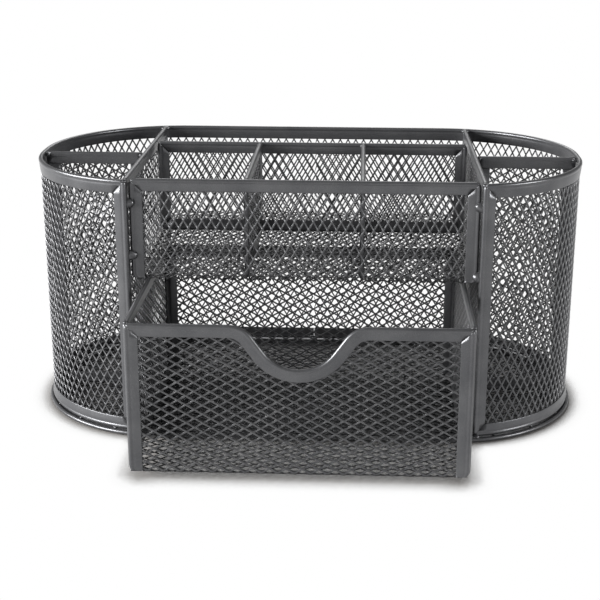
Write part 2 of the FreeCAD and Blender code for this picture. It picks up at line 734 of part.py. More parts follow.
# Drawer sides, standing on the pan between the front and back edging
side_front = drawer_face + edge + gap
side_run = drawer_length - 2 * edge - 2 * gap
side_low = drawer_low + mesh
side_tall = drawer_high - side_low
side_x = drawer_half - edge / 2
for side, label in ((-1, "left"), (1, "right")):
    origin = V(side * side_x, side_front, side_low)
    corner = ("%d * (sizes.drawer_width / 2 - %s / 2) - sizes.mesh_thickness / 2" % (side, EDGE),
              "%.9f mm" % (side_front + hold), "%.9f mm" % (side_low + hold))
    dims = ("sizes.mesh_thickness", "%.9f mm" % (side_run - 2 * hold), "%.9f mm" % (side_tall - 2 * hold))
    framed_panel("drawer_%s_side" % label, origin, Y, Z, side_run, side_tall, corner, dims, True)

doc.recompute()

# Every object must be sound before anything is written
faults = [o.Name for o in doc.Objects if "Invalid" in o.State or "Error" in o.State]
for obj in made:
    if obj.Shape.isNull() or not obj.Shape.isValid() or obj.Shape.Volume <= 0:
        faults.append(obj.Label)
if faults:
    raise RuntimeError("not sound: " + ", ".join(faults))

os.makedirs("parts", exist_ok=True)
for obj in made:
    obj.Shape.exportStep("parts/%s.step" % obj.Label)
print(len(made), "sub-parts written")
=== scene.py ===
# Desk organizer of expanded steel mesh in folded edging, with a drawer.
# Sizes are in millimetres until they are placed, where they are multiplied by mm.
import bpy
import bmesh
import math
from mathutils import Matrix, Vector


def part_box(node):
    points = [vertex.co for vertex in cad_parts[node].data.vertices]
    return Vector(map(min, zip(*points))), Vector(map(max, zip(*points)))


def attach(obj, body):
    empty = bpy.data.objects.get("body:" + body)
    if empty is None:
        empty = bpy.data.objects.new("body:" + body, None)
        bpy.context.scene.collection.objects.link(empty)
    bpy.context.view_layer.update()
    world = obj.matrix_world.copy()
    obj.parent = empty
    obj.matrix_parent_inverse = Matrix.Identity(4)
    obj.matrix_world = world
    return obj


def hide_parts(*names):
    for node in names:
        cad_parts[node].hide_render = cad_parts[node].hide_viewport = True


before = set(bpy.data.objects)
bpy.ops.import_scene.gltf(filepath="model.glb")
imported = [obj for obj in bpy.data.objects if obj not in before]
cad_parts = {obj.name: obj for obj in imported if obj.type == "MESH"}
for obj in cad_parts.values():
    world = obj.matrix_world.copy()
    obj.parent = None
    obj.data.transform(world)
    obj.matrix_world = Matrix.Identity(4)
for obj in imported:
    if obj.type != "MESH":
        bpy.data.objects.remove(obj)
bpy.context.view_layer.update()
mm = 0.001
toRight, toBack, toTop = Vector((1, 0, 0)), Vector((0, 1, 0)), Vector((0, 0, 1))
print("frame loaded:", len(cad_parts), "nodes")


# Camera

photoView = {
    "place": (20.94, -513.36, 210.36),
    "turn": 0.037,  # radians, as are tilt and roll
    "tilt": -0.317,
    "roll": 0.004,
    "lens": 76.307,
    "sensor": 36,
    "shiftX": -0.02338,  # shares of the frame
    "shiftY": -0.00887,
    "clipStart": 10,
}


def makeCamera():
    turn, tilt, roll = photoView["turn"], photoView["tilt"], photoView["roll"]
    ahead = Vector((-math.sin(turn) * math.cos(tilt), math.cos(turn) * math.cos(tilt), math.sin(tilt)))
    level = Vector((math.cos(turn), math.sin(turn), 0))
    above = level.cross(ahead)
    axisX = level * math.cos(roll) + above * math.sin(roll)
    axisY = above * math.cos(roll) - level * math.sin(roll)
    data = bpy.data.cameras.new("photoCamera")
    data.lens = photoView["lens"]
    data.sensor_width = photoView["sensor"]
    data.shift_x = photoView["shiftX"]
    data.shift_y = photoView["shiftY"]
    data.clip_start = photoView["clipStart"] * mm
    camera = bpy.data.objects.new("photoCamera", data)
    matrix = Matrix((axisX, axisY, -ahead)).transposed().to_4x4()
    matrix.translation = Vector(photoView["place"]) * mm
    camera.matrix_world = matrix
    bpy.context.scene.collection.objects.link(camera)
    bpy.context.scene.camera = camera


makeCamera()
print("camera placed")


# Painted steel

# colours are linear, the grain's size and depth are in millimetres
meshPaint = {
    "dark": (0.070, 0.071, 0.075),
    "pale": (0.116, 0.116, 0.119),
    "metallic": 0.65,
    "roughness": 0.30,
    "grainSize": 0.35,
    "grainDepth": 0.02,
}
edgingPaint = {
    "dark": (0.074, 0.075, 0.080),
    "pale": (0.126, 0.127, 0.131),
    "metallic": 0.65,
    "roughness": 0.30,
    "grainSize": 0.22,
    "grainDepth": 0.012,
}
# what the two paints share, with scales in features per metre
paintPattern = {
    "grainDetail": 3,
    "cloudScale": 90,
    "cloudDetail": 4,
    "flakeScale": 3500,
    "flakeShare": 0.35,
    "darkUpTo": 0.32,
    "paleFrom": 0.74,
    "smoother": 0.07,
    "rougher": 0.10,
    "bumpStrength": 0.5,
}


def paintedSteel(name, look):
    # satin paint with a fine grain, cloudy patches of shade and small flakes
    material = bpy.data.materials.new(name)
    material.use_nodes = True
    tree = material.node_tree
    shader = tree.nodes["Principled BSDF"]
    shader.inputs["Metallic"].default_value = look["metallic"]
    place = tree.nodes.new("ShaderNodeTexCoord").outputs["Object"]

    def texture(kind, scale, detail=None):
        node = tree.nodes.new(kind)
        node.inputs["Scale"].default_value = scale
        if detail is not None:
            node.inputs["Detail"].default_value = detail
        tree.links.new(place, node.inputs["Vector"])
        return node

    grain = texture("ShaderNodeTexNoise", 1 / (look["grainSize"] * mm), paintPattern["grainDetail"])
    clouds = texture("ShaderNodeTexNoise", paintPattern["cloudScale"], paintPattern["cloudDetail"])
    flakes = texture("ShaderNodeTexVoronoi", paintPattern["flakeScale"])
    blend = tree.nodes.new("ShaderNodeMix")
    blend.inputs["Factor"].default_value = paintPattern["flakeShare"]
    shade = tree.nodes.new("ShaderNodeValToRGB")
    stops = ((paintPattern["darkUpTo"], look["dark"]), (paintPattern["paleFrom"], look["pale"]))
    for element, (position, colour) in zip(shade.color_ramp.elements, stops):
        element.position = position
        element.color = (*colour, 1)
    gloss = tree.nodes.new("ShaderNodeMapRange")
    gloss.inputs["To Min"].default_value = look["roughness"] - paintPattern["smoother"]
    gloss.inputs["To Max"].default_value = look["roughness"] + paintPattern["rougher"]
    bump = tree.nodes.new("ShaderNodeBump")
    bump.inputs["Strength"].default_value = paintPattern["bumpStrength"]
    bump.inputs["Distance"].default_value = look["grainDepth"] * mm
    for source, target in (
            (clouds.outputs["Fac"], blend.inputs[2]),
            (flakes.outputs["Distance"], blend.inputs[3]),
            (blend.outputs[0], shade.inputs["Fac"]),
            (shade.outputs["Color"], shader.inputs["Base Color"]),
            (grain.outputs["Fac"], gloss.inputs["Value"]),
            (gloss.outputs["Result"], shader.inputs["Roughness"]),
            (grain.outputs["Fac"], bump.inputs["Height"]),
            (bump.outputs["Normal"], shader.inputs["Normal"])):
        tree.links.new(source, target)
    return material


meshSteel = paintedSteel("charcoalMeshPaint", meshPaint)
edgingSteel = paintedSteel("charcoalEdgingPaint", edgingPaint)
print("materials made")


# Expanded metal: a Geometry Nodes tree lays the lattice along a path

# inputs of the tree, in metres
expandedMetal = {
    "Strand Width": 0.56 * mm,
    "Thickness": 0.36 * mm,
    "Relief": 0.12 * mm,
}
latticePitch = {"long": 6.0, "short": 3.5}
spareCells = 2.0  # laid past each edge of a sheet, before it is trimmed
mergeDistance = {"sheet": 0.002, "edging": 0.0005}  # points nearer than this become one


def addNode(tree, kind, inputs=(), **settings):
    node = tree.nodes.new(kind)
    for key, value in settings.items():
        setattr(node, key, value)
    for name, value in dict(inputs).items():
        socket = node.inputs[name]
        if isinstance(value, bpy.types.NodeSocket):
            tree.links.new(value, socket)
        else:
            socket.default_value = value
    return node.outputs


def calc(tree, operation, *values):
    return addNode(tree, "ShaderNodeMath", enumerate(values), operation=operation)[0]


def calcVector(tree, operation, *values):
    names = (0, "Scale") if operation == "SCALE" else (0, 1)
    return addNode(tree, "ShaderNodeVectorMath", zip(names, values), operation=operation)["Vector"]


def expandedSheetTree():
    tree = bpy.data.node_groups.new("expandedSheet", "GeometryNodeTree")
    for label, kind in (
            ("Path", "Geometry"), ("Outline", "Object"), ("Across", "Vector"), ("Across Reach", "Float"),
            ("Along Pitch", "Float"), ("Across Pitch", "Float"), ("Along Shift", "Float"),
            ("Across Shift", "Float"), ("Strand Width", "Float"), ("Thickness", "Float"),
            ("Relief", "Float"), ("Paint", "Material")):
        tree.interface.new_socket(name=label, in_out="INPUT", socket_type="NodeSocket" + kind)
    tree.interface.new_socket(name="Geometry", in_out="OUTPUT", socket_type="NodeSocketGeometry")
    given = addNode(tree, "NodeGroupInput")
    alongPitch, acrossPitch = given["Along Pitch"], given["Across Pitch"]
    path = addNode(tree, "GeometryNodeMeshToCurve", {"Mesh": given["Path"]})["Curve"]
    pathLength = addNode(tree, "GeometryNodeCurveLength", {"Curve": path})["Length"]
    # a square grid of strand borders, two to a strand, turned so that the strands run aslant
    stepsAlong = calc(tree, "CEIL", calc(tree, "DIVIDE", pathLength, alongPitch))
    stepsAcross = calc(tree, "CEIL", calc(tree, "DIVIDE", given["Across Reach"], acrossPitch))
    cells = calc(tree, "ADD", calc(tree, "ADD", stepsAlong, stepsAcross), 2 * spareCells)
    lines = calc(tree, "MULTIPLY", cells, 2.0)
    grid = addNode(tree, "GeometryNodeMeshGrid", {"Vertices X": lines, "Vertices Y": lines})["Mesh"]
    index = addNode(tree, "GeometryNodeInputIndex")["Index"]
    slant = calc(tree, "POWER", calc(tree, "ADD", calc(tree, "POWER", alongPitch, 2.0),
                                     calc(tree, "POWER", acrossPitch, 2.0)), 0.5)
    cell = calc(tree, "MULTIPLY", calc(tree, "MULTIPLY", alongPitch, acrossPitch), 2.0)
    halfStrand = calc(tree, "DIVIDE", calc(tree, "MULTIPLY", given["Strand Width"], slant), cell)

    def split(count):
        major = calc(tree, "FLOOR", calc(tree, "DIVIDE", calc(tree, "ADD", index, 0.5), count))
        return major, calc(tree, "SUBTRACT", index, calc(tree, "MULTIPLY", major, count))

    def border(number):
        # odd borders end a strand and even ones start it
        pair = calc(tree, "FLOOR", calc(tree, "DIVIDE", calc(tree, "ADD", number, 0.5), 2.0))
        odd = calc(tree, "SUBTRACT", number, calc(tree, "MULTIPLY", pair, 2.0))
        side = calc(tree, "SUBTRACT", calc(tree, "MULTIPLY", odd, 2.0), 1.0)
        return calc(tree, "ADD", pair, calc(tree, "MULTIPLY", side, halfStrand))

    rising, falling = split(lines)
    rising = calc(tree, "SUBTRACT", border(rising), spareCells)
    falling = calc(tree, "SUBTRACT", calc(tree, "SUBTRACT", border(falling), stepsAcross), spareCells)
    halfAlong = calc(tree, "MULTIPLY", alongPitch, 0.5)
    halfAcross = calc(tree, "MULTIPLY", acrossPitch, 0.5)
    along = calc(tree, "MULTIPLY", calc(tree, "ADD", rising, falling), halfAlong)
    across = calc(tree, "MULTIPLY", calc(tree, "SUBTRACT", rising, falling), halfAcross)
    # bonds lean one way and strands the other, as in slit and stretched steel
    longAlong = calc(tree, "GREATER_THAN", alongPitch, acrossPitch)
    leanAlong = calc(tree, "WRAP", calc(tree, "DIVIDE", along, halfAlong), 0.5, -0.5)
    leanAcross = calc(tree, "WRAP", calc(tree, "DIVIDE", across, halfAcross), 0.5, -0.5)
    lean = addNode(tree, "ShaderNodeMix", {"Factor": longAlong, 2: leanAlong, 3: leanAcross})[0]
    halfRelief = calc(tree, "MULTIPLY", given["Relief"], -0.5)
    height = calc(tree, "MULTIPLY", calc(tree, "DIVIDE", lean, halfStrand), halfRelief)
    shifted = addNode(tree, "ShaderNodeCombineXYZ", {
        "X": calc(tree, "ADD", along, given["Along Shift"]),
        "Y": calc(tree, "ADD", across, given["Across Shift"])})["Vector"]
    kept = addNode(tree, "GeometryNodeStoreNamedAttribute",
                   {"Geometry": grid, "Name": "height", "Value": height})["Geometry"]
    flat = addNode(tree, "GeometryNodeSetPosition", {"Geometry": kept, "Position": shifted})["Geometry"]
    # holes are the faces between borders of both kinds, and the outline trims the rest
    rowOfFaces = calc(tree, "SUBTRACT", lines, 1.0)
    faceRising, faceFalling = split(rowOfFaces)
    odd = [calc(tree, "MODULO", calc(tree, "ADD", n, 0.1), 2.0) for n in (faceRising, faceFalling)]
    hole = calc(tree, "GREATER_THAN", calc(tree, "MINIMUM", *odd), 0.9)
    outline = addNode(tree, "GeometryNodeObjectInfo", {"Object": given["Outline"]})["Geometry"]
    place = addNode(tree, "GeometryNodeInputPosition")["Position"]
    sightLine = 1.0
    below = calcVector(tree, "ADD", place, (0.0, 0.0, -sightLine))

    def outside():
        hit = addNode(tree, "GeometryNodeRaycast", {
            "Target Geometry": outline, "Source Position": below, "Ray Direction": (0.0, 0.0, 1.0),
            "Ray Length": 2 * sightLine})["Is Hit"]
        return calc(tree, "SUBTRACT", 1.0, hit)

    unwanted = calc(tree, "MAXIMUM", hole, outside())
    lattice = addNode(tree, "GeometryNodeDeleteGeometry", {"Geometry": flat, "Selection": unwanted},
                      domain="FACE")["Geometry"]
    edges = addNode(tree, "GeometryNodeMeshToCurve", {"Mesh": outline})["Curve"]
    wire = addNode(tree, "GeometryNodeCurveToMesh", {"Curve": edges})["Mesh"]
    nearest = addNode(tree, "GeometryNodeProximity", {"Geometry": wire, "Source Position": place},
                      target_element="EDGES")["Position"]
    trimmed = addNode(tree, "GeometryNodeSetPosition",
                      {"Geometry": lattice, "Selection": outside(), "Position": nearest})["Geometry"]
    # from flat to the path
    parts = addNode(tree, "ShaderNodeSeparateXYZ", {"Vector": place})
    sample = addNode(tree, "GeometryNodeSampleCurve", {"Curves": path, "Length": parts["X"]}, mode="LENGTH")
    facing = calcVector(tree, "CROSS_PRODUCT", given["Across"], sample["Tangent"])
    named = addNode(tree, "GeometryNodeInputNamedAttribute", {"Name": "height"})["Attribute"]
    down = calc(tree, "SUBTRACT", named, calc(tree, "MULTIPLY", given["Thickness"], 0.5))
    spot = calcVector(tree, "ADD", calcVector(tree, "ADD", sample["Position"],
                      calcVector(tree, "SCALE", given["Across"], parts["Y"])),
                      calcVector(tree, "SCALE", facing, down))
    facingKept = addNode(tree, "GeometryNodeStoreNamedAttribute",
                         {"Geometry": trimmed, "Name": "facing", "Value": facing},
                         data_type="FLOAT_VECTOR")["Geometry"]
    bent = addNode(tree, "GeometryNodeSetPosition", {"Geometry": facingKept, "Position": spot})["Geometry"]
    # thickness, with the underside closed by a flipped copy
    lift = addNode(tree, "GeometryNodeInputNamedAttribute", {"Name": "facing"},
                   data_type="FLOAT_VECTOR")["Attribute"]
    raised = addNode(tree, "GeometryNodeExtrudeMesh", {
        "Mesh": bent, "Offset": lift, "Offset Scale": given["Thickness"], "Individual": False})["Mesh"]
    underside = addNode(tree, "GeometryNodeFlipFaces", {"Mesh": bent})["Mesh"]
    joined = tree.nodes.new("GeometryNodeJoinGeometry")
    for part in (raised, underside):
        tree.links.new(part, joined.inputs[0])
    welded = addNode(tree, "GeometryNodeMergeByDistance",
                     {"Geometry": joined.outputs[0], "Distance": mergeDistance["sheet"] * mm})["Geometry"]
    smooth = addNode(tree, "GeometryNodeSetShadeSmooth", {"Geometry": welded})["Geometry"]
    solid = addNode(tree, "GeometryNodeRealizeInstances", {"Geometry": smooth})["Geometry"]
    painted = addNode(tree, "GeometryNodeSetMaterial",
                      {"Geometry": solid, "Material": given["Paint"]})["Geometry"]
    addNode(tree, "NodeGroupOutput", {"Geometry": painted})
    return tree


sheetTree = expandedSheetTree()


def plainObject(name, points, edges, faces):
    data = bpy.data.meshes.new(name)
    data.from_pydata([Vector(p) * mm for p in points], edges, faces)
    made = bpy.data.objects.new(name, data)
    bpy.context.scene.collection.objects.link(made)
    return made


def finishPiece(piece, body, node):
    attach(piece, body)
    if node:
        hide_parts(node)


def expandedSheet(name, body, node, path, across, outline, longAlong, shift=(0, 0)):
    # path: points of the sheet's middle line; outline: the sheet's shape, unrolled
    host = plainObject(name + "Path", path, [(i, i + 1) for i in range(len(path) - 1)], [])
    shape = plainObject(name + "Outline", [(u, v, 0) for u, v in outline], [], [range(len(outline))])
    pitches = (latticePitch["long"], latticePitch["short"])
    alongPitch, acrossPitch = pitches if longAlong else pitches[::-1]
    values = dict(expandedMetal)
    values.update({
        "Outline": shape, "Across": across, "Across Reach": max(v for u, v in outline) * mm,
        "Along Pitch": alongPitch * mm, "Across Pitch": acrossPitch * mm,
        "Along Shift": shift[0] * mm, "Across Shift": shift[1] * mm, "Paint": meshSteel})
    modifier = host.modifiers.new("expandedSheet", "NODES")
    modifier.node_group = sheetTree
    for socket in sheetTree.interface.items_tree:
        if socket.in_out == "INPUT" and socket.name in values:
            modifier[socket.identifier] = values[socket.name]
    evaluated = host.evaluated_get(bpy.context.evaluated_depsgraph_get())
    data = bpy.data.meshes.new_from_object(evaluated)
    data.name = name
    for extra in ("height", "facing"):
        if extra in data.attributes:
            data.attributes.remove(data.attributes[extra])
    for helper in (host, shape):
        bpy.data.objects.remove(helper)
    piece = bpy.data.objects.new(name, data)
    bpy.context.scene.collection.objects.link(piece)
    finishPiece(piece, body, node)
    data.calc_loop_triangles()
    print(name, len(data.loop_triangles), "triangles")


def rectangle(width, height):
    return [(0, 0), (width, 0), (width, height), (0, height)]


def spread(start, end, step=2.0):
    # points from start to end, no more than a step apart, without the last
    count = max(1, math.ceil((end - start).length / step))
    return [start + (end - start) * (i / count) for i in range(count)]


def arcPoints(centre, radius, first, last, axes, count):
    # angles in radians between two axes, without the last point
    turns = [first + (last - first) * i / count for i in range(count)]
    return [centre + axes[0] * (radius * math.cos(a)) + axes[1] * (radius * math.sin(a)) for a in turns]


# Folded edging: lengths of channel with a rolled nose, mitred where they meet

foldedEdging = {
    "depth": 4.9,
    "corner": 2.2,  # radius of a panel's corner
    "cornerSteps": 3,  # from a corner's straight end to its mitre
    "footRadius": 1.8,
    "footTurns": (0, 25, 45, 62, 76, 88),  # degrees, closer together towards the end
    "pastCorner": 5.8,  # where the straight part starts, beyond the mitre
    "nose": 1.9,  # what lies outside this keeps its depth in a deeper channel
    "seam": 0.08,  # gap between two lengths at their mitre
    "seamOpening": 0.05,  # how much wider the gap is at its inner end, on each side
    "step": 2.4,
}
# depth in from the edge and distance from the middle plane, over one half of the channel
channelHalf = (
    (0.0, 0.0), (0.05, 0.34), (0.21, 0.64), (0.48, 0.86), (0.82, 0.95), (1.12, 0.93), (1.36, 0.83),
    (1.62, 0.73), (1.85, 0.71), (2.1, 0.74), (2.5, 0.73), (3.3, 0.63), (4.2, 0.50), (4.72, 0.42),
    (4.9, 0.36), (4.9, 0.30), (3.4, 0.28), (1.5, 0.28), (1.0, 0.0),
)
channelShape = list(channelHalf) + [(d, -n) for d, n in channelHalf[-2:0:-1]]
farAway = 1000.0  # the limit of a station that has none


def straightRun(start, end, inward):
    # stations: point on the outer edge, inward direction, its limit, direction past it,
    # and at a corner the direction away from the mitre
    points = spread(start, end, foldedEdging["step"]) + [end]
    return [(p, inward, farAway, inward, flat(0, 0)) for p in points]


def roundCorner(corner, inFirst, inSecond, half):
    # one half of a rounded corner, from its straight end to the mitre or the other way
    r, steps = foldedEdging["corner"], foldedEdging["cornerSteps"]
    centre = corner + (inFirst + inSecond) * r
    away = (inSecond - inFirst).normalized() * (1 if half == 0 else -1)
    stations = []
    for i in range(steps + 1):
        angle = math.radians(45 * i / steps + 45 * half)
        outward = -(inFirst * math.cos(angle) + inSecond * math.sin(angle))
        stations.append((centre + outward * r, -outward, r, inFirst + inSecond, away))
    return stations


def ring(station, atMitre, opening, deeper):
    # the channel's section at a station, in the panel's plane, with its mitre drawn back
    point, inward, limit, beyond, away = station
    flange = foldedEdging["depth"] - foldedEdging["nose"]
    places = []
    for depth, aside in channelShape:
        depth += deeper * max(0.0, depth - foldedEdging["nose"]) / flange
        spot = point + inward * min(depth, limit) + beyond * max(0.0, depth - limit)
        if atMitre or depth > limit:
            drawn = opening * max(0.0, depth / foldedEdging["depth"]) ** 4
            spot += away * (foldedEdging["seam"] / 2 + drawn)
        places.append((spot, aside))
    return places


def joinRings(shape, near, far):
    for i in range(len(near)):
        j = (i + 1) % len(near)
        shape.faces.new((near[i], near[j], far[j], far[i]))


def addLength(shape, stations, onto, startMitre, endMitre, opening, deeper):
    rings = []
    for number, station in enumerate(stations):
        atMitre = (number == 0 and startMitre) or (number == len(stations) - 1 and endMitre)
        section = ring(station, atMitre, opening, deeper)
        rings.append([shape.verts.new(onto(spot, aside) * mm) for spot, aside in section])
    for near, far in zip(rings, rings[1:]):
        joinRings(shape, near, far)
    shape.faces.new(rings[0])
    shape.faces.new(rings[-1][::-1])


def steelPiece(name, body, node, shape, flatEnds=False):
    # a painted piece of the bmesh, smooth but for end faces that are to stay flat
    bmesh.ops.recalc_face_normals(shape, faces=shape.faces)
    for face in shape.faces:
        face.smooth = not flatEnds or len(face.verts) == 4
    data = bpy.data.meshes.new(name)
    shape.to_mesh(data)
    shape.free()
    data.materials.append(edgingSteel)
    piece = bpy.data.objects.new(name, data)
    bpy.context.scene.collection.objects.link(piece)
    finishPiece(piece, body, node)


def edgingPiece(name, body, node, lengths, onto, deeper=0.0):
    # lengths: stations, and whether each end is a mitre; onto: from the panel's plane to its place
    shape = bmesh.new()
    for stations, startMitre, endMitre in lengths:
        addLength(shape, stations, onto, startMitre, endMitre, foldedEdging["seamOpening"], deeper)
    bmesh.ops.remove_doubles(shape, verts=shape.verts, dist=mergeDistance["edging"] * mm)
    steelPiece(name, body, node, shape, True)


def flat(u, v):
    return Vector((u, v, 0))


def foot(corner, inward):
    # the rounded end of a side length, from its straight part down to the corner
    r = foldedEdging["footRadius"]
    stations = []
    for degrees in foldedEdging["footTurns"]:
        angle = math.radians(degrees)
        drawnIn = r * (1 - math.cos(angle))
        point = corner + flat(0, r * (1 - math.sin(angle))) + inward * drawnIn
        stations.append((point, inward, foldedEdging["depth"] - drawnIn, flat(0, 0), flat(0, 0)))
    return stations


def frameLengths(width, height, openBottom=False):
    # four mitred lengths round a panel, or three where its foot is open
    uAxis, vAxis = flat(1, 0), flat(0, 1)
    past = foldedEdging["pastCorner"]
    top = roundCorner(flat(0, height), uAxis, -vAxis, 1)
    top += straightRun(flat(past, height), flat(width - past, height), -vAxis)
    top += roundCorner(flat(width, height), -vAxis, -uAxis, 0)
    low = foldedEdging["footRadius"] if openBottom else past
    rightSide = roundCorner(flat(width, height), -vAxis, -uAxis, 1)
    rightSide += straightRun(flat(width, height - past), flat(width, low), -uAxis)
    leftSide = straightRun(flat(0, low), flat(0, height - past), uAxis)
    leftSide += roundCorner(flat(0, height), uAxis, -vAxis, 0)
    lengths = [(top, True, True)]
    if openBottom:
        rightSide[-1:] = foot(flat(width, 0), -uAxis)
        leftSide[:1] = foot(flat(0, 0), uAxis)[::-1]
        return lengths + [(rightSide, True, False), (leftSide, False, True)]
    rightSide += roundCorner(flat(width, 0), -uAxis, vAxis, 0)
    leftSide[:0] = roundCorner(flat(0, 0), vAxis, uAxis, 1)
    bottom = roundCorner(flat(width, 0), -uAxis, vAxis, 1)
    bottom += straightRun(flat(width - past, 0), flat(past, 0), vAxis)
    bottom += roundCorner(flat(0, 0), vAxis, uAxis, 0)
    return lengths + [(rightSide, True, True), (bottom, True, True), (leftSide, True, True)]


def buttedLengths(width, height):
    # top and bottom lengths that run through, and the sides between them
    uAxis, vAxis = flat(1, 0), flat(0, 1)
    inset = foldedEdging["depth"] + foldedEdging["seam"]
    runs = (
        (flat(0, height), flat(width, height), -vAxis),
        (flat(width, 0), flat(0, 0), vAxis),
        (flat(width, height - inset), flat(width, inset), -uAxis),
        (flat(0, inset), flat(0, height - inset), uAxis))
    return [(straightRun(*run), False, False) for run in runs]


def planeOnto(origin, along, above):
    normal = along.cross(above)

    def onto(spot, aside):
        return origin + along * spot.x + above * spot.y + normal * aside
    return onto


# Flat panels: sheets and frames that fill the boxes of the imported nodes

def nodeBox(node):
    low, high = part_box(node)
    return low / mm, high / mm


sheetHold = 1.05  # how far a sheet's edge lies inside the outer edge of its edging
halfSheet = 0.45  # half the thickness of a sheet as packed
thick = 2.0  # thickness of the edging over both flanges


def framedPanel(stem, body, meshNode, edgingNode, along, longAlong=False):
    # an upright panel, along X or Y
    low, high = nodeBox(edgingNode)
    middle = (low + high) / 2
    size = high - low
    width, height = size.dot(along), size.z
    origin = Vector((low.x, middle.y, low.z)) if along.x else Vector((middle.x, low.y, low.z))
    layOut = buttedLengths if "cup_divider" in edgingNode else frameLengths
    edgingPiece(stem + "Edging", body, edgingNode, layOut(width, height), planeOnto(origin, along, toTop))
    start = origin + along * sheetHold + toTop * sheetHold
    run = width - 2 * sheetHold
    path = spread(start, start + along * run) + [start + along * run]
    expandedSheet(stem + "Mesh", body, meshNode, path, toTop, rectangle(run, height - 2 * sheetHold),
                  longAlong)


for side in ("left", "right"):
    for stem, body, name, along in (
            (side + "Partition", "basket", side + "_partition", toBack),
            (side + "CupDivider", "basket", side + "_cup_divider", toRight),
            (side + "TrayDivider", "basket", side + "_tray_divider", toBack),
            ("drawer" + side.title() + "Side", "drawer", "drawer_" + side + "_side", toBack)):
        framedPanel(stem, body, name + "_mesh", name + "_edging", along, True)
framedPanel("rearPanel", "basket", "rear_panel_mesh", "rear_panel_edging", toRight)
print("flat panels made")


# Outer wall

wall = {
    "endFlat": 6.0,  # straight part of each rounded end
    "postGap": 0.3,  # from the tray's front to a post
    "lift": 0.25,  # how far the wall stands above the base
    "ties": 24,  # small welds that it stands on
    "topDeeper": 0.6,  # depth that the top edging's flanges have over the others
    "backSeam": 0.1,  # from the middle of the back to the end of each half of the bottom edging
    "sheetSeam": 0.02,  # gap between the two sheets behind
    "latticeRise": -1.5,  # sets where the openings' rows fall
    "step": 2.0,  # spacing of points round the ends
    "fewestSteps": 4,
    "leastSpace": 0.2,  # from the end of a cut to the next point
}
halfWidth, halfDepth, wallTop = nodeBox("wall_top_edging")[1]
endRadius = halfDepth - wall["endFlat"] / 2
postEnd = nodeBox("tray_front_edging")[1].x + wall["postGap"]


def wallPath():
    # the wall's middle line from the left front post round the back to the right one
    r = endRadius - thick / 2
    cx, cy = halfWidth - endRadius, halfDepth - endRadius
    start = math.asin((postEnd - cx) / (r - thick / 2))
    axes = (toRight, toBack)
    quarter = math.pi / 2
    low = (thick + wall["lift"]) * toTop

    def corner(x, y, first, last):
        count = max(wall["fewestSteps"], round(abs(last - first) * r / wall["step"]))
        return arcPoints(Vector((x, y, 0)) + low, r, first, last, axes, count)

    points = corner(-cx, -cy, -quarter - start, -2 * quarter)
    points += spread(Vector((-cx - r, -cy, 0)) + low, Vector((-cx - r, cy, 0)) + low)
    points += corner(-cx, cy, 2 * quarter, quarter)
    points += spread(Vector((-cx, cy + r, 0)) + low, Vector((cx, cy + r, 0)) + low)
    points += corner(cx, cy, quarter, 0)
    points += spread(Vector((cx + r, cy, 0)) + low, Vector((cx + r, -cy, 0)) + low)
    points += corner(cx, -cy, 0, -quarter + start)
    last = Vector((cx + r * math.cos(-quarter + start), -cy + r * math.sin(-quarter + start), 0)) + low
    return points + [last]


def pathLengths(path):
    lengths = [0.0]
    for near, far in zip(path, path[1:]):
        lengths.append(lengths[-1] + (far - near).length)
    return lengths


wallLine = wallPath()
wallLengths = pathLengths(wallLine)
wallRun = wallLengths[-1]
wallTall = wallTop - thick - wall["lift"]


def wallPlace(distance):
    # point and heading on the wall's line
    distance = min(max(distance, 0.0), wallRun)
    i = max(1, next((k for k, length in enumerate(wallLengths) if length >= distance), 1))
    near, far = wallLine[i - 1], wallLine[i]
    share = (distance - wallLengths[i - 1]) / (wallLengths[i] - wallLengths[i - 1])
    before = wallLine[max(0, i - 2)]
    after = wallLine[min(len(wallLine) - 1, i + 1)]
    headings = ((far - before).normalized(), (after - near).normalized())
    return near + (far - near) * share, (headings[0] * (1 - share) + headings[1] * share).normalized()


def wallOnto(spot, aside):
    point, heading = wallPlace(spot.x)
    past = spot.x - min(max(spot.x, 0.0), wallRun)
    return point + heading * past + toTop * spot.y + heading.cross(toTop) * aside


def cutPath(first, last):
    # the wall's line between two distances along it
    space = wall["leastSpace"]
    inner = [p for p, length in zip(wallLine, wallLengths) if first + space < length < last - space]
    return [wallPlace(first)[0]] + inner + [wallPlace(last)[0]]


def makeWall():
    middle, tall = wallRun / 2, wallTall - 2 * sheetHold
    spans = (("left", sheetHold, middle - wall["sheetSeam"] / 2),
             ("right", middle + wall["sheetSeam"] / 2, wallRun - sheetHold))
    for side, first, last in spans:
        # the right sheet's openings carry on from the left one's
        carried = -((first - sheetHold) % latticePitch["short"])
        path = [p + toTop * sheetHold for p in cutPath(first, last)]
        expandedSheet(side + "WallMesh", "basket", side + "_wall_mesh", path, toTop,
                      rectangle(last - first, tall), False, (carried, wall["latticeRise"]))
    top, rightPost, bottom, leftPost = frameLengths(wallRun, wallTall)
    edgingPiece("wallTopEdging", "basket", "wall_top_edging", [top], wallOnto, wall["topDeeper"])
    # the bottom edging meets itself at the middle of the back
    stations = bottom[0]
    half = len(stations) // 2
    halves = []
    for part, way in ((stations[:half + 1], 1), (stations[half:], -1)):
        part = list(part)
        end = -1 if way > 0 else 0
        point = part[end][0]
        part[end] = (flat(middle + way * wall["backSeam"], point.y),) + part[end][1:]
        halves.append((part, way > 0, way < 0))
    edgingPiece("wallBottomEdging", "basket", "wall_bottom_edging", halves, wallOnto)
    edgingPiece("leftPostEdging", "basket", "left_post_edging", [leftPost], wallOnto)
    edgingPiece("rightPostEdging", "basket", "right_post_edging", [rightPost], wallOnto)


makeWall()
print("outer wall made")


# Base

